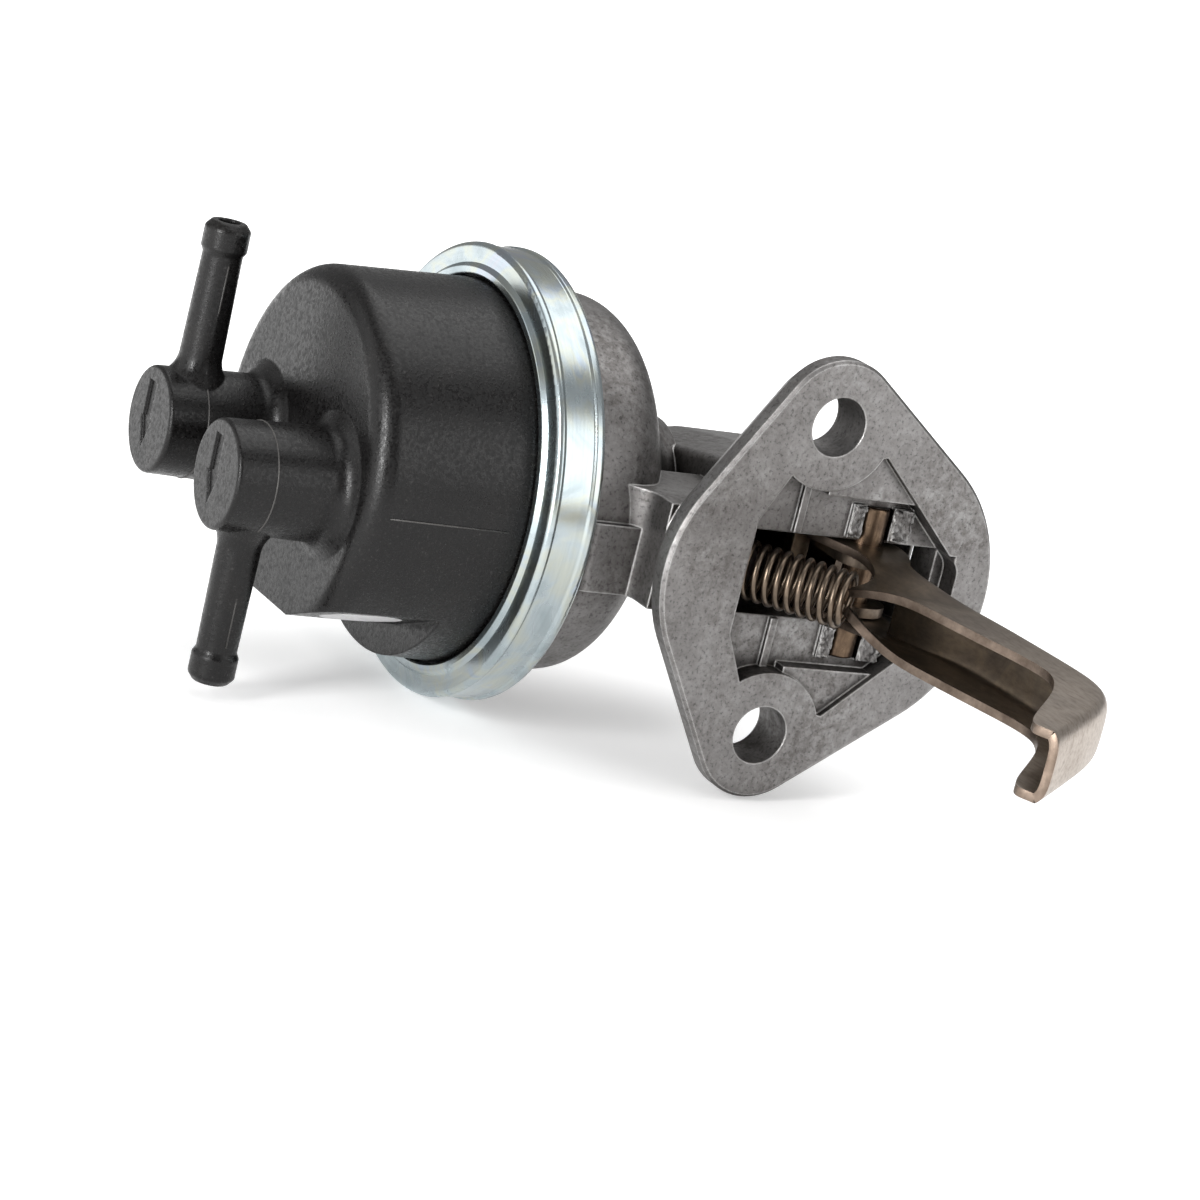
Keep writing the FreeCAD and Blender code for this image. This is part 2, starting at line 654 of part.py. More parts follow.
def diaphragm():
    """Cloth-backed rubber, flat where its rim is clamped and dished to the two plates."""
    bore, rim = ROD_D / 2 + SNUG, RIM_R - 0.4
    root, foot = DISH_ROOT_R, DISC_PLATE_R + 0.6
    return turned([
        (bore, DISH_BACK_Y - SNUG), (foot, DISH_BACK_Y - SNUG, 1.5), (root, BODY_FACE_Y - SNUG, 1.5),
        (rim, BODY_FACE_Y - SNUG), (rim, PLATE_BACK_Y + SNUG), (root - 0.5, PLATE_BACK_Y + SNUG, 1.5),
        (foot - 0.5, DISH_FRONT_Y + SNUG, 1.5), (bore, DISH_FRONT_Y + SNUG),
    ])


def disc_plate(near, way):
    """Pressed plate with its edge turned away from the diaphragm."""
    bore = ROD_D / 2 + SNUG
    edge = DISC_PLATE_R
    far, lip = near + way * DISC_PLATE_T, near + way * 2.0
    return turned([
        (bore, near), (edge - 1.5, near, 0.6), (edge, near + way * 0.9), (edge, lip), (edge - 1.2, lip),
        (edge - 2.4, far, 0.4), (bore, far),
    ])


def pull_rod():
    """Rod riveted over the front plate, with a shoulder below the rear one and a head at its end."""
    front = DISH_FRONT_Y - DISC_PLATE_T
    shoulder = DISH_BACK_Y + DISC_PLATE_T
    r = ROD_D / 2
    head = HEAD_Y + ROD_HEAD_T
    return turned([
        (0, front - ROD_RIVET_T), (ROD_RIVET_R, front - ROD_RIVET_T, 0.5), (ROD_RIVET_R, front - 0.01),
        (r, front - 0.01), (r, shoulder + 0.01), (r + 1.2, shoulder + 0.01), (r + 1.2, shoulder + 1.8, 0.4),
        (r, shoulder + 1.8), (r, HEAD_Y), (ROD_HEAD_R, HEAD_Y, 0.4), (ROD_HEAD_R, head, 0.6), (0, head),
    ])


def diaphragm_spring():
    start = DISH_BACK_Y + DISC_PLATE_T + SPRING_WIRE_D / 2 + SNUG
    length = FLOOR_Y - SPRING_WIRE_D / 2 - SNUG - start
    return coil(SPRING_COIL_R, SPRING_WIRE_D, SPRING_TURNS, length, V(AXIS_X, start, 0), V(0, 1, 0))


def rod_seal():
    """Rubber seal round the rod, against the bell's floor."""
    r = ROD_D / 2 + RUNNING
    back = FLOOR_Y - SNUG
    outer = RETAINER_R - 2.4
    lip = back - 3.2
    return turned([(r, back), (outer, back), (outer, back - 1.4, 0.4), (r + 1.4, lip, 0.5), (r, lip)])


def seal_retainer():
    """Pressed cap over the seal."""
    r = ROD_D / 2 + 0.6
    back = FLOOR_Y - SNUG
    wide, cap, inside = RETAINER_R, RETAINER_R - 1.4, RETAINER_R - 2.2
    return turned([
        (wide, back), (wide, back - 0.9), (cap, back - 0.9, 0.4), (cap, back - 4.3, 0.8), (r, back - 4.3),
        (r, back - 3.4), (inside, back - 3.4, 0.4), (inside, back),
    ])


def web_line(inset):
    """Outer corners of the arm's web, or its inner ones when inset by the sheet."""
    return [
        (77.2 - inset, -5.8), (56.8 - inset * 0.4, 18.7 - inset, 8.0), (27.0, 17.9 - inset, 30.0),
        (12.0, 15.6 - inset), (NOSE_X, 15.6 - inset),
    ]


def on_fold(edge):
    """Whether this edge of the arm is one of its two outer folds."""
    middle = edge.CenterOfMass
    beyond = middle.x * 0.64 + middle.y * 0.77 > 44.5
    return edge.BoundBox.ZLength < 0.1 and (middle.y > 12 or beyond)


def channel(inset):
    """Folded arm as a solid; with an inset, the space inside its sheet."""
    half = LEVER_HALF - inset
    nose = 1.5 if not inset else 0.3
    free = [
        (NOSE_X, 3.4), (18.0, 5.5, 30.0), (31.0, 7.7, 40.0), (47.0, 10.9, 8.0), (56.5, 7.6, 12.0), (73.0, -6.4),
    ]
    if inset:
        free = [(NOSE_X, -12.0), (80.0, -34.0)]
    profile = prism_z(free + web_line(inset), -half, half)
    if not inset:
        profile = profile.makeFillet(FOLD_R, [e for e in profile.Edges if on_fold(e)])
    start = NOSE_X + inset
    plan = prism_y([
        (start, -nose), (start, nose), (14.0 + inset, half - 1.1, 12.0), (22.0 + inset, half, 20.0),
        (90.0, half), (90.0, -half), (22.0 + inset, -half, 20.0), (14.0 + inset, -half + 1.1, 12.0),
    ], -40, 40)
    return profile.common(plan)


def ear():
    """One pivot ear, with its inner arm under the link and its foot on the arm's wall."""
    outline = prism_z([
        (PIN_X, PIN_Y + EAR_R, 4.0), (PIN_X + 8.0, PIN_Y + EAR_R - 1.6, 8.0), (16.5, 16.4), (24.0, 16.4),
        (24.0, 10.0), (14.0, 8.0, 3.0), (9.6, 6.8), (2.8, 9.1, 2.0), (-6.6, 5.2, 4.0),
        (-14.8, 4.6, 1.0), (-14.8, 8.2, 1.0),
        (PIN_X - EAR_R, 9.4, 2.0), (PIN_X - EAR_R, PIN_Y + EAR_R, 5.0),
    ], 0, EAR_HALF)
    band = prism_y([
        (-30, EAR_HALF), (8.0, EAR_HALF, 12.0), (24.0, LEVER_HALF), (24.0, LEVER_HALF - SHEET),
        (8.0, EAR_HALF - SHEET, 12.0), (-30, EAR_HALF - SHEET),
    ], -10, 40)
    return outline.common(band)


def leaning_wall():
    """Part of the sheet that leans out from the arm's wall near the nose to the ear."""
    low, high = LEVER_HALF - 0.5, LEVER_HALF + 0.4
    near = [(6.2, 2.6), (9.6, EAR_HALF), (15.2, EAR_HALF), (15.2, 2.6)]
    far = [(9.6, low), (10.6, high), (15.8, high), (15.8, low)]
    sections = [rounded(near, lambda p: V(9.4, p.x, p.y)), rounded(far, lambda p: V(20.5, p.x, p.y))]
    return Part.makeLoft(sections, True, True)


def rocker_lever():
    """Folded sheet lever: channel arm with a hooked tip, pointed nose, two ears and a spring seat."""
    arm = channel(0).cut(channel(SHEET))
    arm = arm.cut(block(-20, NOSE_X + 1.6, 5.4, 40, -20, 20))
    one = ear().fuse(leaning_wall())
    lever = arm.fuse(one).fuse(mirrored(one))
    inner = EAR_HALF - SHEET
    back = prism_z([(6.5, 13.9), (22.0, 15.2), (22.0, 16.4), (16.5, 16.4), (6.5, 15.8)], -inner, inner)
    bar = block(-14.4, -11.8, 5.0, 8.1, -inner, inner)
    seat_foot = SPRING_END + SPRING_WAY * (RETURN_WIRE_D / 2 + SNUG)
    across = V(SPRING_WAY.y, -SPRING_WAY.x, 0)
    outline = ((-4.6, 0), (-2.4, 0), (-2.4, SHEET), (-4.6, SHEET))
    corners = [seat_foot + across * s + SPRING_WAY * d for s, d in outline]
    seat = prism_z([(c.x, c.y) for c in corners], -inner, inner)
    lever = lever.fuse(back).fuse(bar).fuse(seat)
    lever = lever.cut(rod_z(PIN_D / 2 + RUNNING, -20, 20, PIN_X, PIN_Y))
    return lever.removeSplitter()


def link_lever():
    """Folded sheet link: two cheeks from the pin to the rod, joined by a web."""
    outer = EAR_HALF - SHEET - LINK_GAP
    inner = outer - LINK_SHEET
    cheek = prism_z([
        (PIN_X + LINK_HUB_R, PIN_Y - LINK_HUB_R, 4.5), (PIN_X + LINK_HUB_R, PIN_Y + LINK_HUB_R, 4.5),
        (PIN_X - LINK_HUB_R - 4, PIN_Y + LINK_HUB_R, 6.0), (AXIS_X + 6.0, PAD_Y + PAD_R + 0.2, 4.0),
        (AXIS_X - PAD_R, PAD_Y + PAD_R, PAD_R - 0.1), (AXIS_X - PAD_R, PAD_Y - PAD_R, PAD_R - 0.1),
        (AXIS_X + 6.0, PAD_Y - PAD_R - 0.6, 6.0), (-16.0, 8.5),
    ], inner, outer)
    web = prism_z([
        (-13.0, 14.2), (-13.0, 15.8), (-36.5, 12.6), (-36.5, 11.1),
    ], -inner - 0.2, inner + 0.2)
    link = cheek.fuse(mirrored(cheek)).fuse(web)
    link = link.cut(rod_z(PIN_D / 2 + RUNNING, -20, 20, PIN_X, PIN_Y))
    return link.removeSplitter()


def pivot_pin():
    half = PIN_LENGTH / 2
    r = PIN_D / 2
    return turned_z([(0, -half), (r, -half, 0.4), (r, half, 0.4), (0, half)], PIN_X, PIN_Y)


def lever_return_spring():
    return coil(RETURN_COIL_R, RETURN_WIRE_D, RETURN_TURNS, RETURN_LENGTH, SPRING_FOOT, SPRING_WAY)


def all_parts():
    parts = {
        "pump_body": pump_body(),
        "clamp_ring": clamp_ring(),
        "top_cover": top_cover(),
        "cover_label": cover_label(),
        "cover_seal": cover_seal(),
        "valve_plate": valve_plate(),
        "inlet_strainer": inlet_strainer(),
        "diaphragm": diaphragm(),
        "diaphragm_front_plate": disc_plate(DISH_FRONT_Y, -1),
        "diaphragm_rear_plate": disc_plate(DISH_BACK_Y, 1),
        "pull_rod": pull_rod(),
        "diaphragm_spring": diaphragm_spring(),
        "rod_seal": rod_seal(),
        "seal_retainer": seal_retainer(),
        "rocker_lever": rocker_lever(),
        "link_lever": link_lever(),
        "pivot_pin": pivot_pin(),
        "lever_return_spring": lever_return_spring(),
    }
    for (x, inlet), name in zip(valve_places(), ("inlet", "outlet")):
        disc, spring, cage = valve_parts(x, inlet)
        parts[name + "_valve_disc"] = disc
        parts[name + "_valve_spring"] = spring
        parts[name + "_valve_cage"] = cage
    return parts


os.makedirs("parts", exist_ok=True)
for node, shape in all_parts().items():
    shape.exportStep("parts/" + node + ".step")
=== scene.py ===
import math

import bmesh
import bpy
from mathutils import Matrix, Vector, noise


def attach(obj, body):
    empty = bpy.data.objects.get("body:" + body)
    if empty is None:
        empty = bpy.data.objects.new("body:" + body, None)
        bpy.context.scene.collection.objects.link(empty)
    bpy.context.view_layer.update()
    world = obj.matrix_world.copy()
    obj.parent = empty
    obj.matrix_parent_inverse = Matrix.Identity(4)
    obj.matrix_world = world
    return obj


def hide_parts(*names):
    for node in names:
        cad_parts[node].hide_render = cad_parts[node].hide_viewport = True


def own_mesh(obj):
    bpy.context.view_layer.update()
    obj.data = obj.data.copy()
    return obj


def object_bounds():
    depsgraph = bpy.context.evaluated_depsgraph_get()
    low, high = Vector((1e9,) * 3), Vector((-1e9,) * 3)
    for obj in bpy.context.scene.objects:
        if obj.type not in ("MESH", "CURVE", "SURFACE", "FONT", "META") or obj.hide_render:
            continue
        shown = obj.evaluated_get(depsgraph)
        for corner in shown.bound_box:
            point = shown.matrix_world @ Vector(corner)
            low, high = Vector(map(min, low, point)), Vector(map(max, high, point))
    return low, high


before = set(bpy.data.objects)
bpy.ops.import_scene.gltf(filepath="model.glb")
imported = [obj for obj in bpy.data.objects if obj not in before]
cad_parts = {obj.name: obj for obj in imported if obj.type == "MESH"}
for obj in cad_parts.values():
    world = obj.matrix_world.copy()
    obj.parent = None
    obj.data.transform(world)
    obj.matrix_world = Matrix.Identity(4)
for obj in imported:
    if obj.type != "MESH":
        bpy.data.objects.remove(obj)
cad_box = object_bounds()

MM = 0.001
WHITE = (1.0, 1.0, 1.0, 1.0)
WORLD_LEVEL = 0.28     # the even light that falls on the object
GLOSSY_LEVEL = 0.34    # the same light where it is seen in a gloss

# Places in the shared frame, in millimetres
PUMP_AXIS_X = -43.5
BOSS_OFFSET = 13.65
BOSS_HEIGHT = -1.0
PARTING_DEPTH = -75.7


# Small helpers

def colour(hex_value):
    """A written sRGB colour, turned linear."""
    parts = [int(hex_value[i:i + 2], 16) / 255 for i in (1, 3, 5)]
    linear = [p / 12.92 if p <= 0.04045 else ((p + 0.055) / 1.055) ** 2.4 for p in parts]
    return (*linear, 1.0)


def grey(value):
    return (value, value, value, 1.0)


def add(tree, kind, inputs=None, **settings):
    """One shader node with its settings, and its sockets set or linked."""
    made = tree.nodes.new(kind)
    for name, value in settings.items():
        setattr(made, name, value)
    for name, value in (inputs or {}).items():
        if isinstance(value, bpy.types.NodeSocket):
            tree.links.new(value, made.inputs[name])
        else:
            made.inputs[name].default_value = value
    return made.outputs[0]


def stops(tree, value, *pairs):
    """The value taken through a colour ramp of (place, colour) pairs."""
    tone = add(tree, "ShaderNodeValToRGB", {"Fac": value})
    elements = tone.node.color_ramp.elements
    while len(elements) < len(pairs):
        elements.new(0.5)
    for element, (place, shade) in zip(elements, pairs):
        element.position = place
        element.color = shade
    return tone


def per_mm(size):
    """Texture scale that gives a pattern of this size in millimetres."""
    return 1000.0 / size


def new_material(name):
    made = bpy.data.materials.new(name)
    made.use_nodes = True
    tree = made.node_tree
    coordinates = tree.nodes.new("ShaderNodeTexCoord")
    return made, tree, tree.nodes["Principled BSDF"], coordinates


def dress(made, *nodes):
    """Gives CAD nodes this material in place of their plain one."""
    for name in nodes:
        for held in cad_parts[name].material_slots:
            held.material = made


# Materials

def cast_aluminium():
    """Die-cast aluminium, as cast and handled: dull grey and stained darker in patches, with painted shade
    darkening its nooks, and lighter along its edges, partly worn bright and partly a painted highlight. The
    cast skin's grain is drawn at 0.55 mm, about twice its real size."""
    made, tree, shader, coordinates = new_material("die_cast_aluminium")
    place = coordinates.outputs["Object"]
    cloud = add(tree, "ShaderNodeTexNoise", {
        "Vector": place, "Scale": per_mm(9.0), "Detail": 5.0, "Roughness": 0.62, "Distortion": 0.8})
    blotch = add(tree, "ShaderNodeTexNoise", {
        "Vector": place, "Scale": per_mm(1.5), "Detail": 6.0, "Roughness": 0.72, "Distortion": 0.3})
    grain = add(tree, "ShaderNodeTexNoise", {
        "Vector": place, "Scale": per_mm(0.55), "Detail": 3.0, "Roughness": 0.65})
    patch = add(tree, "ShaderNodeTexNoise", {
        "Vector": place, "Scale": per_mm(16.0), "Detail": 3.0, "Roughness": 0.55, "Distortion": 0.5})
    tone = stops(
        tree, cloud, (0.30, colour("#7c7a79")), (0.52, colour("#878584")), (0.72, colour("#939291")))
    stain = stops(tree, blotch, (0.36, colour("#a29c97")), (0.48, colour("#cfccca")), (0.60, WHITE))
    handled = stops(tree, patch, (0.44, grey(0.25)), (0.64, grey(0.7)))
    body = add(tree, "ShaderNodeMixRGB", {
        "Fac": handled, "Color1": tone, "Color2": stain}, blend_type="MULTIPLY")
    speck = stops(tree, grain, (0.34, grey(0.36)), (0.45, grey(0.94)), (0.62, grey(1.0)), (0.72, grey(1.25)))
    body = add(tree, "ShaderNodeMixRGB", {"Fac": 0.7, "Color1": body, "Color2": speck}, blend_type="MULTIPLY")
    # Painted shade: nooks and recesses are darkened where less light reaches them
    nook = add(tree, "ShaderNodeAmbientOcclusion", {"Distance": 5.0 * MM}, samples=8).node.outputs["AO"]
    painted_nook_shade = stops(tree, nook, (0.25, colour("#6f6a66")), (0.85, WHITE))
    body = add(tree, "ShaderNodeMixRGB", {"Fac": 0.9, "Color1": body, "Color2": painted_nook_shade}, blend_type="MULTIPLY")
    # Painted highlight and wear: convex and concave edges alike are made lighter, partly worn bright metal
    # and partly a painted highlight
    eased = add(tree, "ShaderNodeBevel", {"Radius": 0.45 * MM}, samples=6)
    facing = add(tree, "ShaderNodeNewGeometry").node.outputs["Normal"]
    close = add(tree, "ShaderNodeVectorMath", {0: eased, 1: facing}, operation="DOT_PRODUCT")
    edge = stops(tree, close.node.outputs["Value"], (0.90, grey(1.0)), (0.995, grey(0.0)))
    edge = add(tree, "ShaderNodeMath", {0: edge, 1: blotch}, operation="MULTIPLY")
    body = add(tree, "ShaderNodeMixRGB", {"Fac": edge, "Color1": body, "Color2": colour("#e4e3e1")})
    tree.links.new(body, shader.inputs["Base Color"])
    gloss = stops(tree, blotch, (0.35, grey(0.52)), (0.65, grey(0.42)))
    tree.links.new(gloss, shader.inputs["Roughness"])
    shader.inputs["Metallic"].default_value = 1.0
    coarse = add(tree, "ShaderNodeBump", {
        "Height": blotch, "Normal": eased, "Strength": 0.2, "Distance": 0.2 * MM})
    fine = add(tree, "ShaderNodeBump", {
        "Height": grain, "Normal": coarse, "Strength": 0.35, "Distance": 0.06 * MM})
    tree.links.new(fine, shader.inputs["Normal"])
    return made


def moulded_nylon():
    """Black glass-filled nylon, moulded in a spark-grained tool: dark, half matt, with a soft sheen that
    breaks into fine sparks at the corners. The grain is drawn at 0.6 mm, about three times its real size."""
    made, tree, shader, coordinates = new_material("moulded_black_nylon")
    place = coordinates.outputs["Object"]
    cloud = add(tree, "ShaderNodeTexNoise", {
        "Vector": place, "Scale": per_mm(7.0), "Detail": 5.0, "Roughness": 0.65, "Distortion": 0.6})
    grain = add(tree, "ShaderNodeTexNoise", {
        "Vector": place, "Scale": per_mm(0.6), "Detail": 3.0, "Roughness": 0.75})
    fibre = add(tree, "ShaderNodeTexNoise", {
        "Vector": place, "Scale": per_mm(0.4), "Detail": 1.0})
    tone = stops(tree, cloud, (0.30, colour("#080707")), (0.55, colour("#0c0b0b")), (0.75, colour("#12100f")))
    dust = stops(tree, fibre, (0.62, grey(0.0)), (0.80, grey(0.5)))
    dust = add(tree, "ShaderNodeMath", {0: dust, 1: cloud}, operation="MULTIPLY")
    body = add(tree, "ShaderNodeMixRGB", {"Fac": dust, "Color1": tone, "Color2": colour("#504e4d")})
    eased = add(tree, "ShaderNodeBevel", {"Radius": 0.5 * MM}, samples=6)
    tree.links.new(body, shader.inputs["Base Color"])
    gloss = stops(tree, grain, (0.36, grey(0.50)), (0.60, grey(0.22)))
    tree.links.new(gloss, shader.inputs["Roughness"])
    shader.inputs["IOR"].default_value = 1.5
    shader.inputs["Specular IOR Level"].default_value = 0.3
    bumpy = add(tree, "ShaderNodeBump", {
        "Height": grain, "Normal": eased, "Strength": 0.4, "Distance": 0.12 * MM})
    tree.links.new(bumpy, shader.inputs["Normal"])
    return made


def zinc_plate():
    """Spun steel, bright zinc plated and passivated: a bluish mirror, blurred along the spinning. The
    spinning marks are drawn at 0.5 mm, about twice their real size."""
    made, tree, shader, coordinates = new_material("blue_zinc_plated_steel")
    wrap = 0.0012    # metres of pattern for each radian, so that the marks run long round the ring
    place = add(tree, "ShaderNodeMapping", {
        "Vector": coordinates.outputs["Object"], "Location": (-PUMP_AXIS_X * MM, 0.0, 0.0)})
    parts = add(tree, "ShaderNodeSeparateXYZ", {0: place}).node.outputs
    angle = add(tree, "ShaderNodeMath", {0: parts["Z"], 1: parts["X"]}, operation="ARCTAN2")
    flat = add(tree, "ShaderNodeCombineXYZ", {0: parts["X"], 1: parts["Z"]})
    radius = add(tree, "ShaderNodeVectorMath", {0: flat}, operation="LENGTH").node.outputs["Value"]
    round_way = add(tree, "ShaderNodeMath", {0: angle, 1: wrap}, operation="MULTIPLY")
    along = add(tree, "ShaderNodeCombineXYZ", {0: radius, 1: parts["Y"], 2: round_way})
    streak = add(tree, "ShaderNodeTexNoise", {
        "Vector": along, "Scale": per_mm(0.5), "Detail": 4.0, "Roughness": 0.6})
    cloud = add(tree, "ShaderNodeTexNoise", {
        "Vector": place, "Scale": per_mm(11.0), "Detail": 3.0, "Roughness": 0.5, "Distortion": 1.2})
    tint = stops(tree, cloud, (0.30, colour("#9aa6aa")), (0.46, colour("#aeb8bb")), (0.56, colour("#b6bbb3")),
                 (0.64, colour("#aab5be")), (0.78, colour("#b6b3bb")))
    line = stops(tree, streak, (0.30, grey(0.86)), (0.60, grey(1.0)))
    body = add(tree, "ShaderNodeMixRGB", {"Fac": 0.7, "Color1": tint, "Color2": line}, blend_type="MULTIPLY")
    tree.links.new(body, shader.inputs["Base Color"])
    shader.inputs["Metallic"].default_value = 1.0
    gloss = stops(tree, cloud, (0.30, grey(0.30)), (0.70, grey(0.21)))
    tree.links.new(gloss, shader.inputs["Roughness"])
    bumpy = add(tree, "ShaderNodeBump", {"Height": streak, "Strength": 0.10, "Distance": 0.02 * MM})
    tree.links.new(bumpy, shader.inputs["Normal"])
    return made


def tempered_sheet():
    """Pressed steel sheet, hardened and oiled: grey-brown, with fine marks along its length, and lighter
    towards the hook on the faces turned up and outwards. The marks are drawn at 0.7 mm, about twice their
    real size."""
    made, tree, shader, coordinates = new_material("hardened_steel_sheet")
    place = coordinates.outputs["Object"]
    drawn = add(tree, "ShaderNodeMapping", {"Vector": place, "Scale": (0.3, 1.0, 1.0)})
    cloud = add(tree, "ShaderNodeTexNoise", {
        "Vector": place, "Scale": per_mm(7.0), "Detail": 5.0, "Roughness": 0.6, "Distortion": 0.7})
    streak = add(tree, "ShaderNodeTexNoise", {
        "Vector": drawn, "Scale": per_mm(0.7), "Detail": 5.0, "Roughness": 0.65})
    tone = stops(tree, cloud, (0.28, colour("#534a42")), (0.48, colour("#675c50")), (0.62, colour("#786a5a")),
                 (0.76, colour("#5f5752")))
    line = stops(tree, streak, (0.30, grey(0.70)), (0.58, grey(1.05)))
    body = add(tree, "ShaderNodeMixRGB", {"Fac": 0.8, "Color1": tone, "Color2": line}, blend_type="MULTIPLY")
    parts = add(tree, "ShaderNodeSeparateXYZ", {0: place}).node.outputs
    # Lighter towards the hook, on faces turned up and outwards, by a fixed facing direction
    reach = add(tree, "ShaderNodeMapRange", {
        "Value": parts["X"], "From Min": 0.020, "From Max": 0.060, "To Min": 0.0, "To Max": 0.8})
    hook_tone = stops(
        tree, streak, (0.30, colour("#8b7f74")), (0.45, colour("#a99c90")), (0.60, colour("#b8ada2")))
    inward = add(tree, "ShaderNodeVectorMath", {
        0: coordinates.outputs["Normal"], 1: (0.45, 0.55, 0.7)}, operation="DOT_PRODUCT")
    outside = stops(tree, inward.node.outputs["Value"], (0.05, grey(0.12)), (0.35, grey(1.0)))
    reach = add(tree, "ShaderNodeMath", {0: reach, 1: outside}, operation="MULTIPLY")
    body = add(tree, "ShaderNodeMixRGB", {"Fac": reach, "Color1": body, "Color2": hook_tone})
    tree.links.new(body, shader.inputs["Base Color"])
    shader.inputs["Metallic"].default_value = 1.0
    gloss = stops(tree, cloud, (0.30, grey(0.46)), (0.70, grey(0.34)))
    tree.links.new(gloss, shader.inputs["Roughness"])
    bumpy = add(tree, "ShaderNodeBump", {"Height": streak, "Strength": 0.25, "Distance": 0.05 * MM})
    tree.links.new(bumpy, shader.inputs["Normal"])
    return made


def steel(name, dark, light, low_gloss, high_gloss, size, stretch=(1.0, 1.0, 1.0)):
    """A steel of two tones, with fine marks drawn out by the stretch. Their size in millimetres is about
    twice the real one, so that they show."""
    made, tree, shader, coordinates = new_material(name)
    place = add(tree, "ShaderNodeMapping", {"Vector": coordinates.outputs["Object"], "Scale": stretch})
    cloud = add(tree, "ShaderNodeTexNoise", {
        "Vector": coordinates.outputs["Object"], "Scale": per_mm(size * 6), "Detail": 4.0, "Roughness": 0.6})
    mark = add(tree, "ShaderNodeTexNoise", {
        "Vector": place, "Scale": per_mm(size), "Detail": 4.0, "Roughness": 0.6})
    tone = stops(tree, cloud, (0.32, colour(dark)), (0.68, colour(light)))
    line = stops(tree, mark, (0.30, grey(0.75)), (0.60, grey(1.0)))
    body = add(tree, "ShaderNodeMixRGB", {"Fac": 0.8, "Color1": tone, "Color2": line}, blend_type="MULTIPLY")
    tree.links.new(body, shader.inputs["Base Color"])
    shader.inputs["Metallic"].default_value = 1.0
    gloss = stops(tree, mark, (0.30, grey(high_gloss)), (0.70, grey(low_gloss)))
    tree.links.new(gloss, shader.inputs["Roughness"])
    bumpy = add(tree, "ShaderNodeBump", {"Height": mark, "Strength": 0.2, "Distance": 0.03 * MM})
    tree.links.new(bumpy, shader.inputs["Normal"])
    return made


def plain_moulding(name, dark, light, roughness, size):
    """A moulded plastic or rubber of two close tones. The size of its surface grain in millimetres is about
    twice the real one, so that it shows."""
    made, tree, shader, coordinates = new_material(name)
    place = coordinates.outputs["Object"]
    cloud = add(tree, "ShaderNodeTexNoise", {
        "Vector": place, "Scale": per_mm(size * 10), "Detail": 4.0, "Roughness": 0.6})
    grain = add(tree, "ShaderNodeTexNoise", {
        "Vector": place, "Scale": per_mm(size), "Detail": 3.0, "Roughness": 0.6})
    tone = stops(tree, cloud, (0.32, colour(dark)), (0.68, colour(light)))
    tree.links.new(tone, shader.inputs["Base Color"])
    gloss = stops(tree, grain, (0.30, grey(roughness + 0.08)), (0.70, grey(roughness - 0.08)))
    tree.links.new(gloss, shader.inputs["Roughness"])
    bumpy = add(tree, "ShaderNodeBump", {"Height": grain, "Strength": 0.35, "Distance": 0.05 * MM})
    tree.links.new(bumpy, shader.inputs["Normal"])
    return made


def proofed_cloth():
    """Cloth-backed rubber: black, with the cloth's threads printed through at 0.6 mm."""
    made, tree, shader, coordinates = new_material("cloth_backed_rubber")
    place = coordinates.outputs["Object"]
    bands_a_unit = 20
    thread = per_mm(0.6) / bands_a_unit
    warp = add(tree, "ShaderNodeTexWave", {
        "Vector": place, "Scale": thread, "Distortion": 0.6}, bands_direction="X")
    weft = add(tree, "ShaderNodeTexWave", {
        "Vector": place, "Scale": thread, "Distortion": 0.6}, bands_direction="Z")
    weave = add(tree, "ShaderNodeMath", {
        0: warp.node.outputs["Fac"], 1: weft.node.outputs["Fac"]}, operation="MULTIPLY")
    tone = stops(tree, weave, (0.0, colour("#161616")), (1.0, colour("#2b2a29")))
    tree.links.new(tone, shader.inputs["Base Color"])
    shader.inputs["Roughness"].default_value = 0.7
    bumpy = add(tree, "ShaderNodeBump", {"Height": weave, "Strength": 0.5, "Distance": 0.08 * MM})
    tree.links.new(bumpy, shader.inputs["Normal"])
    return made


# New pieces

def settle(mesh, name, made, body):
    """The finished mesh as a smooth piece that rides on its body."""
    bmesh.ops.recalc_face_normals(mesh, faces=mesh.faces)
    for face in mesh.faces:
        face.smooth = True
    data = bpy.data.meshes.new(name)
    mesh.to_mesh(data)
    mesh.free()
    data.materials.append(made)
    piece = bpy.data.objects.new(name, data)
    bpy.context.scene.collection.objects.link(piece)
    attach(piece, body)
    return piece


def wound_wire(radius, wire, turns, length, foot, way, closed):
    """Round wire wound into a spring, in millimetres; closed is the turns laid close at each end."""
    steps_a_turn = 40
    mesh = bmesh.new()
    circle = bmesh.ops.create_circle(mesh, segments=14, radius=wire / 2)["verts"]
    bmesh.ops.rotate(mesh, verts=circle, matrix=Matrix.Rotation(math.pi / 2, 3, "X"))
    bmesh.ops.translate(mesh, verts=circle, vec=(radius, 0, 0))
    ends = 2 * closed
    tight = wire * 1.06
    open_pitch = (length - ends * tight) / (turns - ends)
    spans = [(closed, tight), (turns - ends, open_pitch), (closed, tight)]
    last = list(mesh.verts) + list(mesh.edges)
    for span, pitch in spans:
        count = round(span * steps_a_turn)
        rise = span * pitch / count
        last = bmesh.ops.spin(
            mesh, geom=last, cent=(0, 0, 0), axis=(0, 0, 1), dvec=(0, 0, rise),
            angle=2 * math.pi * span, steps=count, use_merge=False)["geom_last"]
    bmesh.ops.holes_fill(mesh, edges=[e for e in mesh.edges if e.is_boundary], sides=0)
    turn = Vector((0, 0, 1)).rotation_difference(Vector(way)).to_matrix().to_4x4()
    place = Matrix.Scale(MM, 4) @ Matrix.Translation(foot) @ turn
    bmesh.ops.transform(mesh, matrix=place, verts=mesh.verts)
    return mesh


